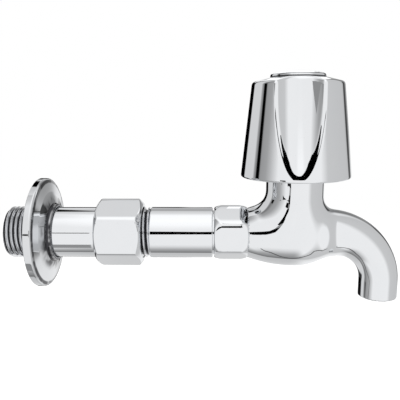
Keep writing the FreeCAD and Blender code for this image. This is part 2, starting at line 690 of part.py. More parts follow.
nut_hexagon = new_sketch(washer_nut, "nut_hexagon", "XY_Plane", nut_bottom + face_clearance)
hexagon(nut_hexagon, washer_nut_flats)
circle(nut_hexagon, 0, 0, stud_hole)
extrude(washer_nut, nut_hexagon, washer_nut_height)

# Handle: a turned cone with three scooped flanks, hollow below and recessed for the button
handle = new_body("handle", spindle_x)
handle_outline = new_sketch(handle, "handle_outline", "XZ_Plane")
recess_dia = cap_plug_dia + 2 * thread_clearance
outline(handle_outline, [
    (handle_mouth_dia / 2, handle_bottom),
    (handle_bottom_dia / 2 - handle_edge_round, handle_bottom, handle_edge_round, 1),
    (handle_bottom_dia / 2, handle_bottom + handle_edge_round),
    (handle_top_dia / 2, handle_top - handle_edge_round, handle_edge_round, 1),
    (handle_top_dia / 2 - handle_edge_round, handle_top),
    (cap_dia / 2, crown_top),
    (recess_dia / 2, crown_top),
    (recess_dia / 2, hub_top),
    (insert_dia / 2 + thread_clearance, hub_top),
    (insert_dia / 2 + thread_clearance, hub_bottom),
    (handle_hollow_dia / 2, hub_bottom),
])
turn(handle, handle_outline, "Z")
scoop = new_sketch(handle, "scoop", "XY_Plane", scoop_level)
scoop_spot = FreeCAD.Vector(0, 0, scoop_level.value)
scoop.AttachmentOffset = FreeCAD.Placement(scoop_spot, FreeCAD.Rotation(0 - HANDLE_TURN, 0, 0))
circle(scoop, 0, 0 - scoop_floor - scoop_dia / 2, scoop_dia)
swing_centre = 0 - scoop_floor - scoop_arc
swing_start = FreeCAD.Vector(0, swing_centre.value, 0)
swing_end = FreeCAD.Vector((scoop_dia / 2).value, swing_centre.value, 0)
swing_line = scoop.addGeometry(Part.LineSegment(swing_start, swing_end), True)
pin_point(scoop, "swing_start", swing_line, 1, 0, swing_centre)
pin_point(scoop, "swing_end", swing_line, 2, scoop_dia / 2, swing_centre)
scoop_cut = handle.newObject("PartDesign::Groove", "scoop_cut")
scoop_cut.Profile = scoop
scoop_cut.ReferenceAxis = (scoop, ["Axis0"])
scoop_cut.Angle = SCOOP_SWING
scoop_cut.Midplane = True
doc.recompute()
scoops = handle.newObject("PartDesign::PolarPattern", "scoops")
scoops.Originals = [scoop_cut]
scoops.Axis = (handle_outline, ["V_Axis"])
scoops.Angle = FULL_TURN
scoops.Occurrences = SCOOPS
handle.Tip = scoops

insert_top = hub_top - face_clearance
ring("handle_insert", insert_dia, spindle_stem_dia + 2 * thread_clearance,
     hub_bottom, insert_top - hub_bottom, spindle_x)
ring("screw_washer", screw_washer_dia, screw_dia + 2 * thread_clearance,
     insert_top, screw_washer_thickness, spindle_x)
screw = new_body("handle_screw", spindle_x)
screw_outline = new_sketch(screw, "screw_outline", "XZ_Plane")
head_bottom = insert_top + screw_washer_thickness
head_top = head_bottom + screw_head_height
outline(screw_outline, [
    (0, head_bottom - screw_length),
    (screw_dia / 2 - thread_clearance, head_bottom - screw_length),
    (screw_dia / 2 - thread_clearance, head_bottom),
    (screw_head_dia / 2, head_bottom),
    (screw_head_dia / 2, head_top - screw_slot_depth / 2),
    (screw_head_dia / 2 - screw_slot_depth / 2, head_top),
    (0, head_top),
])
turn(screw, screw_outline, "Z")
screw_slot = new_sketch(screw, "screw_slot", "XY_Plane", head_top)
outline(screw_slot, [
    (0 - screw_head_dia / 2, 0 - screw_slot_width / 2),
    (screw_head_dia / 2, 0 - screw_slot_width / 2),
    (screw_head_dia / 2, screw_slot_width / 2),
    (0 - screw_head_dia / 2, screw_slot_width / 2),
])
extrude(screw, screw_slot, screw_slot_depth, cut=True)

# Button: a thin dome with a plug that sits in the handle's recess
cap = new_body("handle_cap", spindle_x)
cap_outline = new_sketch(cap, "cap_outline", "XZ_Plane")
dome_start = crown_top + cap_edge
dome_rise = cap_dome - cap_edge
dome_arc = (cap_dia * cap_dia / 4 + dome_rise * dome_rise) / (2 * dome_rise)
cap_ceiling = crown_top + cap_dome - cap_sheet
outline(cap_outline, [
    (0, cap_ceiling),
    (cap_plug_dia / 2 - cap_sheet, cap_ceiling - cap_sheet),
    (cap_plug_dia / 2 - cap_sheet, crown_top - cap_plug_depth),
    (cap_plug_dia / 2, crown_top - cap_plug_depth),
    (cap_plug_dia / 2, crown_top),
    (cap_dia / 2, crown_top),
    (cap_dia / 2, dome_start, dome_arc, 1),
    (0, crown_top + cap_dome),
])
turn(cap, cap_outline, "Z")

doc.recompute()

# Every feature must have worked, and every cut must have removed something
CUTS = ("PartDesign::Groove", "PartDesign::Pocket", "PartDesign::SubtractiveLoft")
bodies = [thing for thing in doc.Objects if thing.isDerivedFrom("PartDesign::Body")]
for thing in doc.Objects:
    if "Invalid" in thing.State or "Error" in thing.State:
        raise RuntimeError(f"{thing.Name} failed: {thing.State}")
    if thing.TypeId in CUTS and thing.BaseFeature.Shape.Volume - thing.Shape.Volume < 0.01:
        raise RuntimeError(f"{thing.Name} cuts nothing")
for body in bodies:
    if body.Shape.isNull() or not body.Shape.isValid():
        raise RuntimeError(f"{body.Label} is not a sound solid")

os.makedirs("parts", exist_ok=True)
for body in bodies:
    body.Shape.exportStep(f"parts/{body.Label}.step")
    print(body.Label, len(body.Shape.Solids), round(body.Shape.Volume, 1))
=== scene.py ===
# %% [markdown]
# # A wall bib tap in chrome
# The tap is a thread and tube with a wall flange, a large hexagon that takes the tap's own thread,
# a long barrel, a small hexagon, a round casting with a neck and a bent spout, and a flared handle.
# The packed CAD model is loaded first as a fixed frame, so every piece made here has a place to be.

# %% Load the packed model
import math

import bpy
import numpy as np
from mathutils import Euler, Matrix, Vector


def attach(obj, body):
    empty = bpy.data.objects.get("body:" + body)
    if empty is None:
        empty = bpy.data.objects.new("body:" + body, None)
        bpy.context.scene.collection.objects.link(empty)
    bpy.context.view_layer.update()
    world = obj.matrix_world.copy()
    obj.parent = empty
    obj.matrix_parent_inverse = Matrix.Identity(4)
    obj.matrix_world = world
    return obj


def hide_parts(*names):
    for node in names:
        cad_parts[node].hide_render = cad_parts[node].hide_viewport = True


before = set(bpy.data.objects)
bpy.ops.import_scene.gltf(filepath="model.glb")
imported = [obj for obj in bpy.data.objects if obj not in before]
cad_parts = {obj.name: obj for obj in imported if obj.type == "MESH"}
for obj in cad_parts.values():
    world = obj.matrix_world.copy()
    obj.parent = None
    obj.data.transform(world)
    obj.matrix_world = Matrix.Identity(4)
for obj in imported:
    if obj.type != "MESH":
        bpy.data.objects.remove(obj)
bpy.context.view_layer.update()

# %% [markdown]
# ## The camera
# A picture of a tap this small is taken from close by, a hand's width above its axis, looking
# slightly down. Its place comes from matching known sizes: the half inch thread, the tube and the
# round edges of the handle. A far camera with a long lens would draw the flange as a thinner line.
# All places and sizes below are in millimetres, as they are on a drawing.

# %% Place the camera
MM = 0.001
CAMERA_PLACE = (73.37, -202.05, 48.45)
CAMERA_TURN = 1.918
CAMERA_DIP = 9.833
CAMERA_ROLL = -0.257
LENS = 45.47
SENSOR = 36.0

scene = bpy.context.scene
scene.view_settings.view_transform = "Standard"


def place_camera():
    camera = bpy.data.objects.new("camera", bpy.data.cameras.new("camera"))
    scene.collection.objects.link(camera)
    camera.data.sensor_width = SENSOR
    camera.data.lens = LENS
    camera.data.clip_start = 0.01
    camera.location = Vector(CAMERA_PLACE) * MM
    look = Euler((math.radians(90 - CAMERA_DIP), 0, math.radians(CAMERA_TURN))).to_matrix()
    roll = Matrix.Rotation(math.radians(CAMERA_ROLL), 3, "Z")
    camera.rotation_euler = (look @ roll).to_euler()
    scene.camera = camera
    return camera


print("camera at", tuple(round(value, 4) for value in place_camera().location))

# %% [markdown]
# ## Building surfaces
# Chrome shows every fault of a surface, because a mirror doubles each error of its direction. A
# subdivision or bevel modifier would be quicker, but its directions are averages of its faces. So
# the surfaces are worked out as formulas, and each point is given the surface's true direction. A
# skin collects patches into one mesh, and each face has a mark, the number of its finish.

# %% Collect patches of surface into one mesh


class Skin:
    """Patches of surface in millimetres that become one mesh with true surface directions."""

    def __init__(self):
        self.points = []
        self.directions = []
        self.faces = []
        self.marks = []
        self.count = 0

    def add(self, points, directions, faces, mark=0):
        corner = points[faces[:, :3]]
        facing = np.cross(corner[:, 1] - corner[:, 0], corner[:, 2] - corner[:, 0])
        if (facing * directions[faces[:, 0]]).sum() < 0:
            faces = faces[:, ::-1]
        self.points.append(points)
        self.directions.append(directions)
        self.faces.append(faces + self.count)
        self.marks.append(np.full(len(faces), mark))
        self.count += len(points)

    def grid(self, points, directions, mark=0):
        """A patch of rows of points, each row a closed ring."""
        rows, columns = points.shape[:2]
        here = np.arange(rows - 1)[:, None] * columns + np.arange(columns)[None, :]
        beside = here - np.arange(columns) + (np.arange(columns) + 1) % columns
        faces = np.stack([here, beside, beside + columns, here + columns], -1)
        self.add(points.reshape(-1, 3), directions.reshape(-1, 3), faces.reshape(-1, 4), mark)

    def make(self, name):
        faces = np.concatenate(self.faces)
        mesh = bpy.data.meshes.new(name)
        mesh.from_pydata((np.concatenate(self.points) * MM).tolist(), [], faces.tolist())
        mesh.polygons.foreach_set("material_index", np.concatenate(self.marks).astype(np.int32))
        mesh.polygons.foreach_set("use_smooth", np.ones(len(faces), bool))
        mesh.normals_split_custom_set_from_vertices(np.concatenate(self.directions).tolist())
        piece = bpy.data.objects.new(name, mesh)
        scene.collection.objects.link(piece)
        print(name, "has", len(faces), "faces")
        return piece


def unit(vectors):
    return vectors / np.linalg.norm(vectors, axis=-1, keepdims=True)


# %% [markdown]
# ## Turned parts
# A lathe turns a bar, so a turned part is a profile swept round an axis. Blender's screw modifier
# sweeps one too, but a formula also gives each point its direction. A corner that is sharp on a
# drawing is never sharp on chrome, because polishing and plating round it, and that round is what
# catches the light. Each corner of a profile has its own small round, and zero leaves it sharp.

# %% Name the two axes that things turn round
RING = 160
SPINDLE_X = 104.8


def around_x(along, away, angle):
    """A point at a distance from the tube's axis, with the angle taken from +Y towards +Z."""
    along = along + 0 * angle
    return np.stack([along, away * np.cos(angle), away * np.sin(angle)], -1)


def around_spindle(along, away, angle):
    """A point at a distance from the handle's upright axis."""
    along = along + 0 * angle
    return np.stack([away * np.cos(angle), away * np.sin(angle), along], -1) + (SPINDLE_X, 0, 0)


def ring_of(count):
    return np.linspace(0, 2 * math.pi, count, endpoint=False)[None, :]


print("the handle turns round x =", SPINDLE_X, "mm")

# %% Round the corners of a profile


def smooth_runs(corners, steps=7):
    """Split a line of corners (along, away, round) at its sharp ones, and round the others."""
    spots = np.array([corner[:2] for corner in corners], float)
    ways = unit(spots[1:] - spots[:-1])
    runs = [[(spots[0], ways[0])]]
    for number in range(1, len(corners) - 1):
        spot, before, after = spots[number], ways[number - 1], ways[number]
        radius = corners[number][2] if len(corners[number]) > 2 else 0
        turn = math.atan2(before[0] * after[1] - before[1] * after[0], before @ after)
        if radius == 0:
            runs[-1].append((spot, before))
            runs.append([(spot, after)])
            continue
        start = spot - before * radius * abs(math.tan(turn / 2))
        side = np.array([-before[1], before[0]]) * math.copysign(1, turn)
        centre = start + side * radius
        for angle in turn * np.arange(steps + 1) / steps:
            spin = np.array([[math.cos(angle), -math.sin(angle)],
                             [math.sin(angle), math.cos(angle)]])
            runs[-1].append((centre - spin @ side * radius, spin @ before))
    runs[-1].append((spots[-1], ways[-1]))
    return runs


print("a round corner is drawn with", len(smooth_runs([(0, 0), (1, 0, 0.5), (1, 1)])[0]), "points")

# %% Sweep a profile round an axis


def turned(skin, place, corners, mark=0):
    """Sweep a profile that runs forward along the outside, so that its left is the open air."""
    angle = ring_of(RING)
    for run in smooth_runs(corners):
        spots = np.array([spot for spot, way in run])
        ways = np.array([way for spot, way in run])
        points = place(spots[:, :1], spots[:, 1:], angle)
        directions = place(-ways[:, 1:], ways[:, :1], angle) - place(0.0, 0.0, angle)
        skin.grid(points, unit(directions), mark)


def shaped(skin, place, away, along, mark=0, ring=RING):
    """Sweep a profile whose distance from the axis changes with the angle too."""
    angle = ring_of(ring)
    along = np.asarray(along, float)[:, None]
    tiny = 1e-4

    def spot(angle, along):
        return place(along, away(angle, along), angle)

    turn_way = spot(angle + tiny, along) - spot(angle - tiny, along)
    along_way = spot(angle, along + tiny) - spot(angle, along - tiny)
    skin.grid(spot(angle, along), unit(np.cross(turn_way, along_way)), mark)


print("each ring of a swept profile has", RING, "points")

# %% [markdown]
# ## Soft joins
# Where two faces of a polished part meet, the buffing wheel rounds the edge over. A bevel would
# need clean edges to work on, and a formula has none, so a soft minimum does it. It serves the
# hexagons, where it takes the lesser of two distances, and the castings below.

# %% Soften a minimum or a maximum


def softer(first, second, width):
    """The lesser of two values, rounded off where they are within a width of each other."""
    share = np.clip(0.5 + 0.5 * (second - first) / width, 0, 1)
    return second + (first - second) * share - width * share * (1 - share)


def harder(first, second, width):
    """The greater of two values, rounded off in the same way."""
    return -softer(-first, -second, width)


print("an edge softened over 1 mm loses", -float(softer(0.0, 0.0, 1.0)), "mm")

# %% [markdown]
# ## Threads and hexagons
# The pipe thread has 14 turns to the inch, flanks at 55 degrees and rounded crests. A bump in the
# material would be simpler, but it leaves the outline smooth. So its depth is worked out from the
# distance along the axis less the share of a turn, which makes a right-hand helix. A hexagon is
# the lesser of six flats and the turned round that takes off its corners.

# %% Describe a thread
THREAD_PITCH = 1.814
THREAD_DEPTH = 1.162
THREAD_CREST = 10.4775
FLANK = 1.36
FLANK_ROUND = 0.22


def thread_away(crest):
    """The thread's distance from its axis. A flank rises FLANK depths in half a turn, and what
    is over a whole depth is rounded off at the crest and at the root."""
    def away(angle, along):
        phase = (along / THREAD_PITCH - angle / (2 * math.pi)) % 1
        slope = np.abs(2 * phase - 1) * FLANK - (FLANK - 1) / 2
        slope = harder(softer(slope, 1.0 + 0 * slope, FLANK_ROUND), 0 * slope, FLANK_ROUND)
        return crest - THREAD_DEPTH * (1 - slope)
    return away


print("25.4 mm of thread has", round(25.4 / THREAD_PITCH, 2), "turns")

# %% Describe a hexagon
HEXAGON_RING = 288
CROWDED_NEAR = 4.0


def hexagon_away(flats, turned_dia, face_dia, start, end, bevel, edge, turned_by=0.0):
    """A hexagon's distance from its axis, with both ends bevelled and every edge rounded."""
    slope = (turned_dia - face_dia) / 2 / bevel

    def bevel_away(depth):
        nose = edge - np.sqrt(np.maximum(edge ** 2 - (edge - np.clip(depth, 0, edge)) ** 2, 0))
        return face_dia / 2 - nose + slope * depth

    def away(angle, along):
        sixth = math.pi / 3
        off_flat = (angle - math.radians(turned_by) + sixth / 2) % sixth - sixth / 2
        body = softer(flats / 2 / np.cos(off_flat), turned_dia / 2 + 0 * angle, edge)
        body = softer(body, bevel_away(along - start), edge)
        return softer(body, bevel_away(end - along), edge)
    return away


def crowded(start, end, near=CROWDED_NEAR, count=30):
    """Places from start to end, crowded towards both ends, where the bevels are."""
    share = np.linspace(0, 1, count) ** 1.5
    middle = np.linspace(start + near, end - near, 8)[1:-1]
    return np.concatenate([start + near * share, middle, end - near * share[::-1]])


print("a hexagon 20 mm long is drawn with", len(crowded(0, 20)), "rings")

# %% [markdown]
# ## The extension nipple
# One turned piece: thread, plain tube and a large hexagon with a socket. It stands for the CAD
# solid, whose thread is drawn plain. The thread's first turn runs out in a lead, as a die cuts it.

# %% Make the extension nipple
WALL_END = -11.5
LEAD_DEPTH = 0.9
LEAD_RISE = 0.95
TUBE_START = 0.4
TUBE_AWAY = 10.2
WATERWAY_AWAY = 7.0
HEX_1 = (24.65, 43.55)
HEX_1_FLATS = 24.6
HEX_1_TURNED = 27.6
HEX_1_FACE = 22.6
HEX_1_BEVEL = 1.7
HEX_1_EDGE = 0.5
HEX_1_TURN = -4.5
SOCKET_FLOOR = 29.2
SOCKET_AWAY = 10.5


def wall_thread(angle, along):
    """The wall thread, cut down at its first turn by the lead."""
    lead = THREAD_CREST - LEAD_DEPTH + (along - WALL_END) * LEAD_RISE
    return softer(thread_away(THREAD_CREST)(angle, along), lead, 0.15)


def make_nipple():
    skin = Skin()
    start, end = HEX_1
    rim = HEX_1_FACE / 2 - HEX_1_EDGE
    shaped(skin, around_x, wall_thread, np.linspace(WALL_END, TUBE_START, 133), 1)
    turned(skin, around_x, [(TUBE_START, 9.2), (TUBE_START, TUBE_AWAY, 0.1), (start, TUBE_AWAY)])
    hexagon = hexagon_away(HEX_1_FLATS, HEX_1_TURNED, HEX_1_FACE, start, end, HEX_1_BEVEL,
                           HEX_1_EDGE, HEX_1_TURN)
    shaped(skin, around_x, hexagon, crowded(start, end), ring=HEXAGON_RING)
    turned(skin, around_x, [(start, TUBE_AWAY - 0.1), (start, rim)])
    turned(skin, around_x, [
        (end, rim), (end, SOCKET_AWAY + 0.2, 0.1), (end - 0.3, SOCKET_AWAY),
        (SOCKET_FLOOR, SOCKET_AWAY), (SOCKET_FLOOR, WATERWAY_AWAY, 0.2),
        (WALL_END, WATERWAY_AWAY, 0.3), (WALL_END, THREAD_CREST - 1.2)])
    return skin.make("nipple")


nipple = make_nipple()

# %% [markdown]
# ## The wall flange
# A cover pressed from thin sheet: a low upright rim, a shallow dome and a flare that ends in a
# short collar. The profile's large rounds carry the soft gradients that a pressed sheet shows. One
# closed profile would make the shape, but the face is plated and the back is bare, so it has two.

# %% Make the wall flange
FLANGE_STAND = 1.1
FLANGE_FACE = ((0.0, 21.4), (0.0, 22.2, 0.25), (3.0, 22.2, 1.2), (4.1, 16.5, 8.0),
               (5.4, 11.9, 0.7), (7.0, 11.5, 0.5), (7.0, 10.9))
FLANGE_BACK = ((7.0, 10.9), (7.0, 10.63), (4.9, 10.63, 0.4), (4.8, 11.3, 0.6),
               (3.2, 16.3, 6.0), (2.2, 21.4, 0.4), (0.0, 21.4))


def make_flange():
    skin = Skin()
    for mark, side in enumerate((FLANGE_FACE, FLANGE_BACK)):
        corners = [(FLANGE_STAND + along, *rest) for along, *rest in side]
        turned(skin, around_x, corners, mark)
    return skin.make("flange")


flange = make_flange()

# %% [markdown]
# ## Castings from distances
# The chamber, neck and spout melt into each other, which profiles cannot do. Instead a formula
# gives the distance of any point from the surface, and soft minimums join the forms. The surface is
# found on a grid of small cells, and each point is then slid onto it along the way of steepest
# change, which is also the surface's direction.

# %% Find the way of steepest change


def steepest(distance, points, step=0.01):
    ways = np.empty_like(points)
    for axis in range(3):
        shift = np.zeros(3)
        shift[axis] = step
        ways[:, axis] = (distance(points + shift) - distance(points - shift)) / (2 * step)
    return ways


def slid_onto(distance, points, times=4):
    for _ in range(times):
        ways = steepest(distance, points)
        points = points - distance(points)[:, None] * ways / (ways ** 2).sum(1, keepdims=True)
    return points


sample = slid_onto(lambda points: np.linalg.norm(points, axis=1) - 2, np.array([[1.0, 1.0, 0.0]]))
print("a point slid onto a ball of 2 mm is", round(float(np.linalg.norm(sample)), 6), "mm away")

# %% Name the cells beside an edge


def cells_beside(spot, axis):
    """The four cells round each grid edge that starts at a spot and runs along an axis."""
    first, second = [other for other in range(3) if other != axis]
    cells = []
    for back, aside in ((0, 0), (1, 0), (1, 1), (0, 1)):
        cell = spot.copy()
        cell[:, first] -= back
        cell[:, second] -= aside
        cells.append(cell)
    return cells


print("an edge has", len(cells_beside(np.zeros((1, 3), int), 0)), "cells beside it")

# %% Find the surface where a distance is zero


def skin_of_distance(skin, distance, low, high, size, mark_of):
    """Add the zero surface of a distance, with one point in each cell that it passes through."""
    low = np.array(low, float)
    counts = np.ceil((np.array(high) - low) / size).astype(int) + 1
    lines = [low[axis] + size * np.arange(counts[axis]) for axis in range(3)]
    places = np.stack(np.meshgrid(*lines, indexing="ij"), -1)
    values = distance(places.reshape(-1, 3)).reshape(counts)
    total = np.zeros(tuple(counts - 1) + (3,))
    crossings = np.zeros(counts - 1)
    quads = []
    for axis in range(3):
        here, there = [slice(None)] * 3, [slice(None)] * 3
        here[axis], there[axis] = slice(0, -1), slice(1, None)
        near, far = values[tuple(here)], values[tuple(there)]
        crossed = (near < 0) != (far < 0)
        spot = np.argwhere(crossed)
        place = spot.astype(float)
        place[:, axis] += near[crossed] / (near[crossed] - far[crossed])
        cells = cells_beside(spot, axis)
        fits = np.all([(cell >= 0).all(1) & (cell < counts - 1).all(1) for cell in cells], 0)
        cells = [tuple(cell[fits].T) for cell in cells]
        for cell in cells:
            np.add.at(total, cell, place[fits])
            np.add.at(crossings, cell, 1)
        corners = [np.ravel_multi_index(cell, tuple(counts - 1)) for cell in cells]
        quads.append(np.stack(corners, -1))
    used = crossings > 0
    number = np.full(crossings.size, -1)
    number[used.ravel()] = np.arange(used.sum())
    points = slid_onto(distance, low + size * total[used] / crossings[used][:, None])
    directions = unit(steepest(distance, points))
    faces = number[np.concatenate(quads)]
    corner = points[faces]
    facing = np.cross(corner[:, 2] - corner[:, 0], corner[:, 3] - corner[:, 1])
    wrong = (facing * directions[faces[:, 0]]).sum(1) < 0
    faces[wrong] = faces[wrong][:, ::-1]
    skin.add(points, directions, faces, mark_of(corner.mean(1)))
    print("found", len(points), "points on a grid of", counts, "places")


# %% [markdown]
# ## The tap's casting
# Seen from the wall: the inlet thread, the barrel, the small hexagon, and then the chamber. The
# chamber is round below, but its sides rise nearly straight into the neck, so that the dark line
# along the barrel swings up there. Past the waist the spout bends down in a quarter of a ring and
# grows thinner towards its mouth. Sand moulds give such forms their soft joins.

# %% Describe the chamber and the neck
CHAMBER_START = 86.3
CHAMBER_START_AWAY = 10.2
CHAMBER_AWAY = 13.4
WAIST_X = 120.3
WAIST_AWAY = 9.6
WAIST_SWING = 0.66
NARROW = 0.075
NARROW_REACH = 9.0
CHEEK_X = 116.8
CHEEK = 0.13
CHEEK_REACH = 2.6
NECK_AWAY = 11.5
NECK_TOP = 29.0
NECK_SWELL = 0.69
NECK_SWELL_END = 16.0
NECK_DEPTH = 13
NECK_DRAW_IN = 0.018
NECK_TOP_ROUND = 0.6


def chamber_away(along):
    """The chamber's radius. It grows to the spindle, then swings in to the waist."""
    short = (SPINDLE_X - along) / (SPINDLE_X - CHAMBER_START)
    back = CHAMBER_AWAY - (CHAMBER_AWAY - CHAMBER_START_AWAY) * short ** 2
    share = np.clip((along - SPINDLE_X) / (WAIST_X - SPINDLE_X), 0, 1)
    falling = share ** 2 / WAIST_SWING
    settling = 1 - (1 - share) ** 2 / (1 - WAIST_SWING)
    front = np.where(share < WAIST_SWING, falling, settling)
    return np.where(along < SPINDLE_X, back, CHAMBER_AWAY - (CHAMBER_AWAY - WAIST_AWAY) * front)


def chamber_distance(x, y, z):
    """A swept round, a little narrower at the spindle and wider at the cheeks by the waist."""
    narrow = NARROW * np.exp(-((x - SPINDLE_X) / NARROW_REACH) ** 2)
    wide = CHEEK * np.exp(-((x - CHEEK_X) / CHEEK_REACH) ** 2)
    chamber = np.hypot(y / (1 - narrow + wide), z) - chamber_away(np.clip(x, 80, WAIST_X))
    return np.maximum(chamber, CHAMBER_START - 0.5 - x)


def neck_distance(x, y, z):
    """An upright post that swells at its foot and ends in a drawn-in round inside the chamber."""
    swell = NECK_SWELL * (1 - np.clip(z, 0, NECK_SWELL_END) / NECK_SWELL_END) ** 2
    low = np.clip(-z, 0, NECK_DEPTH)
    away = np.hypot(np.hypot(x - SPINDLE_X, y), low)
    post = away - NECK_AWAY - swell + NECK_DRAW_IN * low ** 2
    return harder(post, z - NECK_TOP, NECK_TOP_ROUND)


print("the chamber is", 2 * float(chamber_away(SPINDLE_X)), "mm high")

# %% Describe the spout and join the three
BEND = 19.5
MOUTH_Z = -26.6
MOUTH_AWAY = 7.7
MOUTH_ROUND = 0.5
BORE_AWAY = 6.2
BORE_START = 0.2
BORE_ROUND = 0.4
NECK_JOIN = 5.5
BARE = 2


def along_spout(x, y, z):
    """How far past the waist, how far above the bend's centre, the share of the quarter turn that
    is done, and the distance from the spout's middle line."""
    ahead = x - WAIST_X
    above = z + BEND
    share = np.clip(np.arctan2(ahead, above) / (math.pi / 2), 0, 1)
    bend = np.hypot(np.hypot(ahead, above) - BEND, y)
    bend = np.where(above < 0, np.hypot(ahead - BEND, y), bend)
    bend = np.where(ahead < 0, np.hypot(y, z), bend)
    return ahead, above, share, bend


def casting_distance(points):
    x, y, z = points.T
    ahead, above, share, bend = along_spout(x, y, z)
    away = MOUTH_AWAY + (WAIST_AWAY - MOUTH_AWAY) * (1 - share) ** 2
    spout = harder(bend - away, MOUTH_Z - z, MOUTH_ROUND)
    body = np.where(ahead < 0, chamber_distance(x, y, z), spout)
    body = softer(body, neck_distance(x, y, z), NECK_JOIN)
    bore = np.maximum(bend - BORE_AWAY, BORE_START - share - (above < 0))
    return harder(body, -bore, BORE_ROUND)


def bare_bore(centres):
    """Mark the faces of the spout's bore as bare brass."""
    ahead, _, _, bend = along_spout(*centres.T)
    return BARE * ((bend < BORE_AWAY + 0.4) & (ahead > 3))


print("the mouth is", 2 * MOUTH_AWAY, "mm outside and", 2 * BORE_AWAY, "mm inside")

# %% [markdown]
# ## The casting's turned ends
# Between the inlet thread and the chamber the casting is machined in a lathe, so the thread, the
# barrel and the hexagon are swept profiles. They are joined to the found surface as one mesh,
# because the real piece is one casting. Its water way is left as bare brass.

# %% Make the casting
INLET_CREST = 10.25
BARREL = (46.7, 71.8)
BARREL_AWAY = 10.3
GROOVE_AWAY = 8.95
HEX_2 = (72.3, 86.0)
HEX_2_FLATS = 20.3
HEX_2_TURNED = 22.6
HEX_2_FACE = 20.4
HEX_2_BEVEL = 2.2
HEX_2_EDGE = 0.7
FACE_INNER = 9.0
INLET_END = 31.0
INLET_NOSE = 10.2
WATERWAY_END = 93.0
CASTING_LOW = (85.4, -15, -28)
CASTING_HIGH = (149, 15, 30.4)
CASTING_CELL = 0.6


def make_casting():
    skin = Skin()
    start, end = BARREL
    hex_start, hex_end = HEX_2
    rim = HEX_2_FACE / 2 - HEX_2_EDGE
    thread_start = HEX_1[1] - 1.0
    inlet = thread_away(INLET_CREST)
    shaped(skin, around_x, inlet, np.linspace(thread_start, start + 0.05, 41), 1)
    turned(skin, around_x, [(start, FACE_INNER), (start, BARREL_AWAY, 0.45),
                            (end, BARREL_AWAY, 0.4), (end, GROOVE_AWAY - 0.05)])
    turned(skin, around_x, [(end, GROOVE_AWAY), (hex_start, GROOVE_AWAY)])
    hexagon = hexagon_away(HEX_2_FLATS, HEX_2_TURNED, HEX_2_FACE, hex_start, hex_end,
                           HEX_2_BEVEL, HEX_2_EDGE)
    shaped(skin, around_x, hexagon, crowded(hex_start, hex_end), ring=HEXAGON_RING)
    turned(skin, around_x, [(hex_start, GROOVE_AWAY - 0.05), (hex_start, rim)])
    turned(skin, around_x, [(hex_end, rim), (hex_end, FACE_INNER)])
    turned(skin, around_x, [(WATERWAY_END, 0.05), (WATERWAY_END, WATERWAY_AWAY),
                            (INLET_END, WATERWAY_AWAY, 0.2), (INLET_END, INLET_NOSE, 0.3),
                            (thread_start, INLET_NOSE)], BARE)
    skin_of_distance(skin, casting_distance, CASTING_LOW, CASTING_HIGH, CASTING_CELL, bare_bore)
    return skin.make("casting")


casting = make_casting()

# %% [markdown]
# ## The handle
# A cone with three scooped flanks for the fingers, hollow below, cast and plated. Booleans could
# cut the scoops, but they leave sharp edges. Polishing rolls these edges over, and the roll is what
# draws the dark line round the front scoop, so the handle is found from its distance too.

# %% Name the handle's sizes
HANDLE_BOTTOM = 23.0
HANDLE_TOP = 60.0
HANDLE_TURN = 4.7
FOOT_ROUND = 1.0
HANDLE_AWAY = 21.8
HANDLE_LEAN = 4.05 / 37.0
FLANK_COSINE = 0.994
CROWN_AWAY = 17.15
CROWN_LEAN = 1.6 / 5.95
CROWN_COSINE = 0.966
CROWN_ROUND = 1.1
SCOOP_AWAY = 11.3
SCOOP_SWING = 105.0
SCOOP_TOP = 69.8
SCOOP_ROLL = 1.4
HOLLOW_AWAY = 17.0
HOLLOW_LEAN = 5.8 / 23.0
HOLLOW_COSINE = 0.97
HOLLOW_TOP = 46.0
HOLLOW_ROUND = 0.5
RECESS_AWAY = 9.4
RECESS_FLOOR = 54.5
print("the handle leans in by", round(math.degrees(math.atan(HANDLE_LEAN)), 1), "degrees")

# %% Describe the handle


def scoop_distance(x, y, z, angle):
    """A finger's groove: a round rod bent slowly outwards, at an angle round the handle."""
    towards = x * math.cos(angle) + y * math.sin(angle)
    across = -x * math.sin(angle) + y * math.cos(angle)
    swing = np.hypot(towards - SCOOP_AWAY - SCOOP_SWING, z - SCOOP_TOP)
    return np.hypot(swing - SCOOP_SWING + SCOOP_AWAY, across) - SCOOP_AWAY


def handle_distance(points):
    """The cosine of a leaning face's lean makes its level distance a square one."""
    x, y, z = points.T - np.array([[SPINDLE_X], [0], [0]])
    up = z - HANDLE_BOTTOM
    away = np.hypot(x, y)
    flank = (away - HANDLE_AWAY + up * HANDLE_LEAN) * FLANK_COSINE
    crown = (z - HANDLE_TOP - CROWN_LEAN * (CROWN_AWAY - away)) * CROWN_COSINE
    body = harder(harder(flank, crown, CROWN_ROUND), -up, FOOT_ROUND)
    for third in range(3):
        angle = math.radians(-90 - HANDLE_TURN + 120 * third)
        body = harder(body, -scoop_distance(x, y, z, angle), SCOOP_ROLL)
    hollow = (away - HOLLOW_AWAY + up * HOLLOW_LEAN) * HOLLOW_COSINE
    body = harder(body, -np.maximum(hollow, z - HOLLOW_TOP), HOLLOW_ROUND)
    return np.maximum(body, -np.maximum(away - RECESS_AWAY, RECESS_FLOOR - z))


def unplated_hollow(centres):
    """Mark the faces of the hollow, which the plating doesn't reach."""
    away = np.hypot(centres[:, 0] - SPINDLE_X, centres[:, 1])
    hollow_away = HOLLOW_AWAY + 0.2 - (centres[:, 2] - HANDLE_BOTTOM) * HOLLOW_LEAN
    return (away < hollow_away) & (centres[:, 2] < HOLLOW_TOP + 1)


web = handle_distance(np.array([[SPINDLE_X, 0.0, 50.0]]))[0]
print("50 mm up, the middle of the handle lies", round(-float(web), 1), "mm deep in its metal")

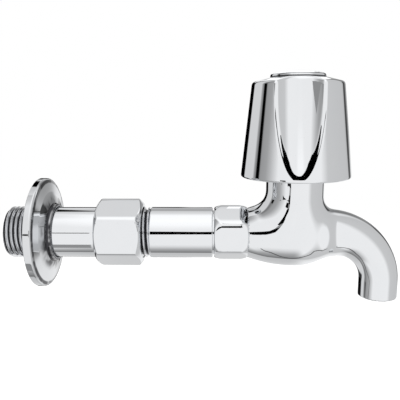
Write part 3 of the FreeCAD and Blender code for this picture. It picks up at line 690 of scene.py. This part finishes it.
# %% Make the handle
HANDLE_REACH = 22.2
HANDLE_LOW = (SPINDLE_X - HANDLE_REACH, -HANDLE_REACH, 22.4)
HANDLE_HIGH = (SPINDLE_X + HANDLE_REACH, HANDLE_REACH, 62.2)
HANDLE_CELL = 0.4


def make_handle():
    skin = Skin()
    skin_of_distance(skin, handle_distance, HANDLE_LOW, HANDLE_HIGH, HANDLE_CELL, unplated_hollow)
    return skin.make("handle_shell")


handle = make_handle()

# %% [markdown]
# ## The button
# A thin dome that snaps into the handle's top and hides its screw. It is pressed from sheet, so it
# is turned here like the flange. A dark ring under its edge, in the near-black rubber finish, is
# painted shade for the gap that is left all round.

# %% Make the button
BUTTON_BASE = 61.9
BUTTON_WALL = 0.5
BUTTON_RISE = 2.3
BUTTON_AWAY = 10.7
BUTTON_INNER = 9.2


def make_button():
    skin = Skin()
    corners = [(BUTTON_BASE + 0.02, BUTTON_INNER), (BUTTON_BASE + 0.02, BUTTON_AWAY, 0.2)]
    for angle in np.radians(range(6, 90, 6)):
        up = BUTTON_WALL + (BUTTON_RISE - BUTTON_WALL) * math.sin(angle)
        corners.append((BUTTON_BASE + up, BUTTON_AWAY * math.cos(angle) ** 0.9, 0.8))
    turned(skin, around_spindle, corners + [(BUTTON_BASE + BUTTON_RISE, 0.02)])
    # A thin near-black ring under the edge: painted shade for the gap round the button.
    low, high, wide = BUTTON_BASE - 0.35, BUTTON_BASE + 0.06, BUTTON_AWAY + 0.05
    gap_shade_ring = [(low, BUTTON_INNER + 0.1), (low, wide), (high, wide), (high, wide - 0.35)]
    turned(skin, around_spindle, gap_shade_ring, 1)
    return skin.make("button")


button = make_button()

# %% [markdown]
# ## Writing materials as sums
# A material is a chain of nodes, which is hard to read. A small class wraps a socket, so that
# ordinary arithmetic adds the maths nodes, and one method adds any other node.

# %% Hand out a node tree's sockets as wires


class Recipe:
    """A node tree that hands out its sockets wrapped."""

    def __init__(self, tree):
        self.tree = tree

    def node(self, kind, settings=None, inputs=None, output=0):
        node = self.tree.nodes.new(kind)
        for name, value in (settings or {}).items():
            setattr(node, name, value)
        for name, value in (inputs or {}).items():
            self.feed(node.inputs[name], value)
        return Wire(self, node.outputs[output])

    def feed(self, socket, value):
        if isinstance(value, Wire):
            self.tree.links.new(value.socket, socket)
        elif socket.type == "RGBA":
            socket.default_value = tuple(value) + (1.0,)
        else:
            socket.default_value = value

    def maths(self, operation, *values):
        return self.node("ShaderNodeMath", {"operation": operation}, dict(enumerate(values)))

    def mix(self, factor, first, second):
        """One colour at 0 and another at 1."""
        return self.node("ShaderNodeMix", {"data_type": "RGBA"},
                         {"Factor": factor, 6: first, 7: second}, 2)

    def parts(self, vector):
        split = self.node("ShaderNodeSeparateXYZ", {}, {"Vector": vector}).socket.node
        return [Wire(self, socket) for socket in split.outputs]

    def noise(self, scale, detail=3.0):
        """Soft noise in space, with as many blobs to the metre as its scale."""
        place = self.node("ShaderNodeTexCoord", output="Object")
        return self.node("ShaderNodeTexNoise", {},
                         {"Vector": place, "Scale": scale, "Detail": detail}, "Fac")

    def ramp(self, share, stops):
        """Greys that change along a share of 0 to 1, given as (place, grey)."""
        wire = self.node("ShaderNodeValToRGB", {}, {"Fac": share})
        elements = wire.socket.node.color_ramp.elements
        while len(elements) < len(stops):
            elements.new(1.0)
        for element, (place, level) in zip(elements, stops):
            element.position = place
            element.color = (level, level, level, 1.0)
        return wire


print("a recipe can:", ", ".join(name for name in vars(Recipe) if name[0] != "_"))

# %% Wrap a socket so that Python's signs work on it


class Wire:
    """One output socket. Arithmetic on it adds maths nodes to its recipe."""

    def __init__(self, recipe, socket):
        self.recipe = recipe
        self.socket = socket

    def __add__(self, other):
        return self.recipe.maths("ADD", self, other)

    def __radd__(self, other):
        return self.recipe.maths("ADD", other, self)

    def __sub__(self, other):
        return self.recipe.maths("SUBTRACT", self, other)

    def __rsub__(self, other):
        return self.recipe.maths("SUBTRACT", other, self)

    def __mul__(self, other):
        return self.recipe.maths("MULTIPLY", self, other)

    def __rmul__(self, other):
        return self.recipe.maths("MULTIPLY", other, self)

    def __truediv__(self, other):
        return self.recipe.maths("DIVIDE", self, other)

    def __rtruediv__(self, other):
        return self.recipe.maths("DIVIDE", other, self)

    def __neg__(self):
        return 0.0 - self

    def between(self, low, high):
        """0 below low, 1 above high, and a smooth rise in between."""
        return self.recipe.node("ShaderNodeMapRange", {"interpolation_type": "SMOOTHSTEP"},
                                {"Value": self, "From Min": low, "From Max": high})

    def below(self, low, high):
        """1 below low, 0 above high, and a smooth fall in between."""
        return 1.0 - self.between(low, high)


print("a wire adds to Python's signs:", ", ".join(name for name in vars(Wire) if name[0] != "_"))

# %% [markdown]
# ## Chrome
# Chrome plate is a mirror that sends back about four fifths of the light, slightly blue. It is
# never perfect: castings are buffed by hand and ripple a little, turned parts keep faint rings, and
# fingers and water leave a haze. An image could hold all this, but it would have to be unwrapped,
# so fine noise in space sets the roughness and a tiny bump.

# %% Feed a material's shader
MICRON = 0.000001


def new_material(name):
    material = bpy.data.materials.new(name)
    material.use_nodes = True
    return material, Recipe(material.node_tree), material.node_tree.nodes["Principled BSDF"].inputs


def feed_shader(recipe, inputs, metallic, colour, roughness, height):
    bump = recipe.node("ShaderNodeBump", {}, {"Height": height, "Distance": 1.0, "Strength": 1.0})
    inputs["Metallic"].default_value = metallic
    recipe.feed(inputs["Base Color"], colour)
    recipe.feed(inputs["Roughness"], roughness)
    recipe.feed(inputs["Normal"], bump)


def place_parts(recipe):
    return recipe.parts(recipe.node("ShaderNodeTexCoord", output="Object"))


def away_from_tube(recipe):
    """The distance from the tube's axis in millimetres."""
    y, z = place_parts(recipe)[1:]
    return recipe.maths("SQRT", y * y + z * z) / MM


print("bumps are given in microns of", MICRON, "m")

# %% Paint shade into the flange's folds
FLANGE_SHADE_COLOUR = (0.05, 0.05, 0.055)
PATCH_SCALE = 260.0


def painted_flange_shade(recipe, colour):
    """Painted shade and painted dark reflections on the flange's face. All of it is a little
    darker, and it is darker still in blotches at the flare, in the fold at the collar's foot, on
    the collar's nose and at the rim's shoulder. Each lies between distances from the tube's axis."""
    away = away_from_tube(recipe)
    patches = recipe.noise(PATCH_SCALE, 1.0).between(0.35, 0.65)
    flare = away.below(12.5, 16.5) * (0.25 + 0.5 * patches)
    fold = away.between(11.65, 11.8) * away.below(12.0, 12.2) * 0.9
    nose = away.below(11.2, 11.4) * 0.9
    shoulder = away.between(20.0, 20.7) * away.below(21.3, 21.9) * (0.35 + 0.5 * patches)
    # Painted shade: about a fifth of the dark colour everywhere, and more where the masks add up.
    painted_shade = (flare + fold + nose + shoulder + 0.22).between(0.0, 1.0)
    return recipe.mix(painted_shade, colour, FLANGE_SHADE_COLOUR)


# The dark colour that the painted shade mixes into the flange's chrome.
print("the folds are dulled to", FLANGE_SHADE_COLOUR)

# %% Make the chrome finishes
CHROME = ((0.80, 0.815, 0.835), (0.825, 0.835, 0.85))
CLOUD_SCALE = 160.0
RIPPLE_SCALE = 210.0
GRAIN_SCALE = 1500.0
RINGS_SCALE = 2600.0


def chrome(name, ripple, ringed=False, tone=None):
    """Chrome whose ripple, in microns, is as high as the making of the piece leaves it."""
    material, recipe, inputs = new_material(name)
    cloud = recipe.noise(CLOUD_SCALE)
    grain = recipe.noise(GRAIN_SCALE, 2.0)
    colour = recipe.mix(cloud, *CHROME)
    # A tone paints shade into the chrome's colour, as the flange's does.
    if tone:
        colour = tone(recipe, colour)
    roughness = 0.02 + 0.02 * cloud.between(0.45, 0.75) + 0.012 * grain
    height = recipe.noise(RIPPLE_SCALE, 1.0) * (ripple * MICRON)
    if ringed:
        along = place_parts(recipe)[0]
        rings = recipe.node("ShaderNodeTexNoise", {"noise_dimensions": "1D"},
                            {"W": along * RINGS_SCALE, "Scale": 1.0, "Detail": 2.0}, "Fac")
        roughness = roughness + 0.02 * rings
        height = height + rings * (0.12 * MICRON)
    feed_shader(recipe, inputs, 1.0, colour, roughness, height)
    print(name, "is made of", len(material.node_tree.nodes), "nodes")
    return material


turned_chrome = chrome("turned_chrome", 1.2, ringed=True)
cast_chrome = chrome("cast_chrome", 3)
flange_chrome_and_painted_shade = chrome("flange_chrome_and_painted_shade", 4, tone=painted_flange_shade)
handle_chrome = chrome("handle_chrome", 2.5)
button_chrome = chrome("button_chrome", 2)

# %% [markdown]
# ## Plated threads
# A thread is plated with the rest, but a polishing wheel cannot reach down into it. The plate is
# bright on the crests and rougher in the roots, and the roots' colour is darkened to near black as
# painted shade, which reads as a row of dark lines. The roots could be faces with their own finish,
# but the distance from the axis tells them apart more softly.

# %% Make the thread finishes
THREAD_CHROME = (0.79, 0.80, 0.82)
THREAD_ROOT_SHADE = (0.03, 0.03, 0.035)


def thread_chrome(name, crest):
    material, recipe, inputs = new_material(name)
    root = away_from_tube(recipe).below(crest - 1.1, crest - 0.5)
    grain = recipe.noise(2400.0)
    # The roots' near-black colour is painted shade; their extra roughness is the duller plate.
    colour = recipe.mix(root * (0.8 + 0.4 * grain), THREAD_CHROME, THREAD_ROOT_SHADE)
    feed_shader(recipe, inputs, 1.0, colour, 0.06 + 0.16 * root + 0.05 * grain, grain * MICRON)
    print(name, "is made of", len(material.node_tree.nodes), "nodes")
    return material


wall_threads = thread_chrome("wall_threads", THREAD_CREST)
inlet_threads = thread_chrome("inlet_threads", INLET_CREST)

# %% [markdown]
# ## Plain metals and washers
# Inside the tap nothing is plated. The headwork is turned brass, the seal is black rubber, the
# joints are red fibre, the packing is a pale ring, the bush is a pale plastic and the screw is
# steel. A flat colour would be simpler, but the pieces are also looked at one by one. So each
# colour drifts between two near tones, with a grain in its bump.

# %% Make the finishes of the inner parts


def plain(name, dark, light, rough, metallic=1.0):
    material, recipe, inputs = new_material(name)
    cloud = recipe.noise(500.0)
    grain = recipe.noise(3000.0, 2.0)
    colour = recipe.mix(cloud, dark, light)
    feed_shader(recipe, inputs, metallic, colour, rough + 0.15 * cloud, grain * (10 * MICRON))
    print(name, "is made of", len(material.node_tree.nodes), "nodes")
    return material


raw_brass = plain("raw_brass", (0.50, 0.36, 0.17), (0.62, 0.46, 0.23), 0.28)
raw_casting = plain("raw_casting", (0.42, 0.43, 0.45), (0.55, 0.56, 0.58), 0.42)
# The seal's black rubber; the same finish colours the ring of painted shade under the button.
rubber = plain("rubber", (0.02, 0.02, 0.022), (0.04, 0.04, 0.043), 0.6, 0.0)
fibre = plain("fibre", (0.30, 0.06, 0.04), (0.42, 0.11, 0.07), 0.65, 0.0)
packing = plain("packing", (0.70, 0.69, 0.65), (0.82, 0.81, 0.78), 0.55, 0.0)
bush = plain("bush", (0.78, 0.77, 0.72), (0.86, 0.85, 0.81), 0.4, 0.0)
steel = plain("steel", (0.52, 0.53, 0.55), (0.64, 0.65, 0.67), 0.22)

# %% [markdown]
# ## Dressing the pieces
# Each new piece rides with the body that it belongs to and stands for one node of the CAD model.
# The parts inside keep their CAD meshes, because nothing about their shape can be seen, and are
# only given a finish.

# %% Give each piece its finish, its body and the node it stands for


def dress(piece, body, node, materials):
    for material in materials:
        piece.data.materials.append(material)
    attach(piece, body)
    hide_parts(node)
    print(piece.name, "rides with", body, "and stands for", node)


dress(nipple, "root", "extension_nipple", [turned_chrome, wall_threads])
dress(flange, "flange", "wall_flange", [flange_chrome_and_painted_shade, raw_casting])
dress(casting, "root", "tap_body", [cast_chrome, inlet_threads, raw_brass])
dress(handle, "handle", "handle", [handle_chrome, raw_casting])
dress(button, "handle", "handle_cap", [button_chrome, rubber])

# %% Give the inner parts their finishes
INNER = {
    raw_brass: ("bonnet", "gland_nut", "spindle", "jumper", "washer_nut", "washer_retainer",
                "slip_washer"),
    rubber: ("seat_washer",),
    fibre: ("socket_washer", "bonnet_washer"),
    packing: ("gland_packing",),
    bush: ("handle_insert",),
    steel: ("screw_washer", "handle_screw"),
}
for material, nodes in INNER.items():
    for node in nodes:
        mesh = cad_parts[node].data
        mesh.materials.clear()
        mesh.materials.append(material)
print("pieces that keep their CAD mesh:", sum(len(nodes) for nodes in INNER.values()))

# %% [markdown]
# ## The studio
# Chrome has no colour of its own: it shows the room. The room is a white tent, brightest above,
# with grey straight below the tap, over its back and at its sides, and a dark line level behind
# it. Lamps would leave spots in the chrome, so two ramps describe the room. One goes round the
# tap's long axis, from behind it, under, in front, over and back, and the other goes round the
# upright axis. The second takes over where a direction leans to a side. A grey wall stands behind
# on the right, and dark posts stand at the sides and behind, because black stripes are what makes
# chrome look like metal.

# %% Describe the tent round both axes
TENT_STRENGTH = 1.3
CHROME_SENDS_BACK = 0.82


def grey(level):
    """What the tent must send so that chrome shows this level, from 0 to 255."""
    level = level / 255
    light = level / 12.92 if level <= 0.04045 else ((level + 0.055) / 1.055) ** 2.4
    return min(light / CHROME_SENDS_BACK / TENT_STRENGTH, 1.0)


def on_ramp(degrees):
    return (degrees + 180) / 360


def level_stops(levels):
    return [(on_ramp(degrees), grey(level)) for degrees, level in levels]


def post_stops(posts):
    """Dark posts between two directions, with their shade, on a ramp that goes round."""
    stops = []
    for begin, end, shade in posts:
        stops += [(begin - 1.5, 0.0), (begin, shade), (end, shade), (end + 1.5, 0.0)]
    return [(on_ramp(degrees), shade) for degrees, shade in stops]


OVER_AND_UNDER = level_stops((
    (-180, 80), (-172, 205), (-150, 205), (-110, 192), (-95, 188), (-93, 110), (-86, 137),
    (-72, 165), (-56, 215), (-46, 232), (25, 234), (45, 250), (65, 255), (93, 252), (105, 226),
    (111, 213), (122, 210), (127, 168), (145, 165), (155, 190), (166, 90), (180, 80),
))
ROUND_THE_SIDES = level_stops((
    (-180, 232), (-145, 205), (-107, 207), (-103, 150), (-97, 112), (-84, 150), (-72, 158),
    (-62, 182), (-50, 215), (-44, 232), (44, 234), (60, 196), (121, 190), (129, 212), (150, 232),
    (180, 232),
))
SIDE_POSTS = post_stops([(-176, -141.5, 1.0), (-97, -89, 1.0), (128, 141, 0.8)])
TOP_POST = post_stops([(-157, -146, 1.0)])
LOW_POST = post_stops([(-176, -129, 0.95)])
print("the tent has", len(OVER_AND_UNDER), "tones over and", len(ROUND_THE_SIDES), "tones round")

# %% Light the tent
BACK_WALL = (grey(150),) * 3
BACK_WALL_TOP = (grey(120),) * 3
FULL_TURN = 2 * math.pi


def light_tent():
    world = bpy.data.worlds.new("tent")
    scene.world = world
    world.use_nodes = True
    recipe = Recipe(world.node_tree)
    x, y, z = recipe.parts(recipe.node("ShaderNodeTexCoord", output="Generated"))
    over = recipe.maths("ARCTAN2", z, -y) / FULL_TURN + 0.5
    side = recipe.maths("ARCTAN2", x, -y) / FULL_TURN + 0.5
    lean = x / recipe.maths("SQRT", x * x + z * z + 0.0001)
    light = recipe.mix(lean.between(0.08, 0.35) + (-lean).between(0.2, 0.5),
                       recipe.ramp(over, OVER_AND_UNDER), recipe.ramp(side, ROUND_THE_SIDES))
    behind = z.between(-0.12, 0.02) * x.between(0.05, 0.3) * y.between(0.45, 0.7)
    light = recipe.mix(behind, light, recipe.mix(z.between(0.1, 0.5), BACK_WALL, BACK_WALL_TOP))
    level = recipe.maths("ABSOLUTE", z)
    dark = (recipe.ramp(side, SIDE_POSTS) * level.below(0.27, 0.37)
            + recipe.ramp(side, TOP_POST) * z.below(0.815, 0.85) * z.between(0.2, 0.4)
            + recipe.ramp(side, LOW_POST) * z.below(-0.3, -0.2) * z.between(-0.6, -0.5))
    background = world.node_tree.nodes["Background"].inputs
    recipe.feed(background["Color"], recipe.mix(dark, light, (0.0, 0.0, 0.0)))
    background["Strength"].default_value = TENT_STRENGTH
    print("the tent has", len(world.node_tree.nodes), "nodes")


light_tent()

# %% [markdown]
# ## Cards
# A photographer hangs dark cards near a chrome piece to draw its form with lines. In front, an
# arm, an elbow and a hook draw the line along the barrel that swings up at the neck. A strip round
# the handle draws the dark edge of the scoop, thin ones shade the tube and the belly, and a white
# card behind lights the button. The camera cannot see them. Each glows in one even tone, so that it
# mirrors the same from everywhere.

# %% Make the cards' even tones
DIM_LEVEL = 80
LOW_LEVEL = 140


def glow(name, colour, strength=TENT_STRENGTH):
    material, recipe, inputs = new_material(name)
    inputs["Base Color"].default_value = (0, 0, 0, 1)
    inputs["Roughness"].default_value = 1.0
    inputs["Specular IOR Level"].default_value = 0.0
    inputs["Emission Color"].default_value = (*colour, 1.0)
    inputs["Emission Strength"].default_value = strength
    return material


black = glow("black_card", (0, 0, 0), 0.0)
white = glow("white_card", (1, 1, 1))
dim_grey = glow("dim_card", (grey(DIM_LEVEL),) * 3)
low_grey = glow("grey_card", (grey(LOW_LEVEL),) * 3)
print("the grey cards send", round(grey(DIM_LEVEL), 3), "and", round(grey(LOW_LEVEL), 3))

# %% Hang the flat cards
ARM_Y = -36
BARREL_SHADE_Y = -100
TUBE_SHADE_Y = -58
CROWN_LIGHT_Y = 45
ARM_SHADE = ((60, 2.8), (67, 3.0), (84, 3.4), (88.5, 7), (90.2, 12.5), (86.6, 12.5), (84.5, 10.3),
             (67, 9.3), (60, 9.4))
ELBOW_SHADE = ((86.6, 12.5), (90.2, 12.5), (90.8, 15.9), (87.6, 15.9))
HOOK_SHADE = ((86.0, 17.5), (87.6, 15.9), (90.8, 15.9), (90.5, 17.5), (88.3, 20.5), (86.0, 21.0))
BARREL_SHADE = ((31.5, 4.5), (56.3, 6.2), (56.3, 26.8), (31.5, 27.5))
TUBE_SHADE = ((-14, 6.6), (11, 6.6), (11, 9.4), (-14, 9.4))
CROWN_LIGHT = ((80, 76), (130, 76), (130, 140), (80, 140))


def hang(name, corners, faces, material):
    mesh = bpy.data.meshes.new(name)
    mesh.from_pydata([Vector(corner) * MM for corner in corners], [], faces)
    mesh.materials.append(material)
    piece = bpy.data.objects.new(name, mesh)
    scene.collection.objects.link(piece)
    piece.visible_camera = False
    print("hang", name, "with", len(corners), "corners")


def card(name, material, *corners):
    hang(name, corners, [tuple(range(len(corners)))], material)


def upright(y, spots):
    return [(x, y, z) for x, z in spots]


card("arm_shade", black, *upright(ARM_Y, ARM_SHADE))
card("elbow_shade", low_grey, *upright(ARM_Y, ELBOW_SHADE))
card("hook_shade", black, *upright(ARM_Y, HOOK_SHADE))
card("barrel_shade", black, *upright(BARREL_SHADE_Y, BARREL_SHADE))
card("tube_shade", black, *upright(TUBE_SHADE_Y, TUBE_SHADE))
card("crown_light", white, *upright(CROWN_LIGHT_Y, CROWN_LIGHT))
card("finger_shade", low_grey, (82, -42, 70), (70, -18, 70), (75.5, -32.8, 60.5))
card("tube_low_shade", low_grey,
     (-14, -41.5, -38), (12, -41.5, -38), (12, -29, -48), (-14, -29, -48))

# %% Hang the strips
STRIP_AWAY = 60
STRIP_LEVELS = ((-33, 57, 61.8), (-21, 53.5, 60.5), (-12, 48.5, 55.5), (-6, 41, 51.5),
                (-3, 38.5, 49), (0, 39.5, 48.5), (4, 44, 49.5), (10, 49, 53), (21, 54.5, 58),
                (33, 57.5, 59.5))
BELLY_LINE = ((78, -33, -37), (87.1, -25.1, -42.1), (96.0, -15.0, -46.7), (105.1, -9.9, -47.7),
              (114.8, -13.3, -46.2), (127.8, -16.6, -41.3), (133.5, -22.4, -37.2),
              (138, -21.3, -34.6))
BELLY_HALF_WIDTH = 1.2


def strip(name, first, second, material):
    """A card that runs along between two lines of points."""
    half = len(first)
    faces = [(step, step + 1, half + step + 1, half + step) for step in range(half - 1)]
    hang(name, first + second, faces, material)


def in_front_of_handle(turn, level):
    turn = math.radians(turn)
    return (SPINDLE_X + STRIP_AWAY * math.sin(turn), -STRIP_AWAY * math.cos(turn), level)


strip("handle_shade", [in_front_of_handle(turn, low) for turn, low, high in STRIP_LEVELS],
      [in_front_of_handle(turn, high) for turn, low, high in STRIP_LEVELS], black)
strip("belly_shade", [(x, y - BELLY_HALF_WIDTH, z) for x, y, z in BELLY_LINE],
      [(x, y + BELLY_HALF_WIDTH, z) for x, y, z in BELLY_LINE], dim_grey)

# %% [markdown]
# ## Backdrop and floor
# Behind the tap there is only pale air. A sheet of paper behind it would show in the chrome, so
# the backdrop is a large white ball that the camera alone sees. A pale matt floor lies far enough
# below that its horizon melts into it.

# %% Put up the backdrop
BACKDROP_AWAY = 2500.0


def put_up_backdrop():
    skin = Skin()
    angle = ring_of(48)
    rise = np.radians(np.linspace(-89.5, 89.5, 25))[:, None]
    level = np.cos(rise)
    ways = np.stack([level * np.cos(angle), level * np.sin(angle), np.sin(rise) + 0 * angle], -1)
    skin.grid(ways * BACKDROP_AWAY, -ways)
    dome = skin.make("backdrop")
    dome.data.materials.append(glow("backdrop_white", (1, 1, 1), 1.0))
    for hidden in ("visible_glossy", "visible_diffuse", "visible_transmission", "visible_shadow"):
        setattr(dome, hidden, False)


put_up_backdrop()

# %% Lay the floor
FLOOR_Z = -450.0
FLOOR_RINGS = (0.01, 300.0, 800.0, 1500.0, 2400.0)


def lay_floor():
    skin = Skin()
    angle = ring_of(64)
    away = np.array(FLOOR_RINGS)[:, None]
    level = FLOOR_Z + 0 * away * angle
    points = np.stack([away * np.cos(angle), away * np.sin(angle), level], -1)
    skin.grid(points, np.zeros_like(points) + (0, 0, 1))
    floor = skin.make("floor")
    material, recipe, inputs = new_material("pale_floor")
    inputs["Roughness"].default_value = 0.8
    inputs["Emission Color"].default_value = (1, 1, 1, 1)
    inputs["Emission Strength"].default_value = 0.45
    recipe.feed(inputs["Base Color"],
                recipe.mix(recipe.noise(3.0), (0.90, 0.90, 0.90), (0.94, 0.94, 0.94)))
    floor.data.materials.append(material)
    floor.visible_glossy = False


lay_floor()

# %% [markdown]
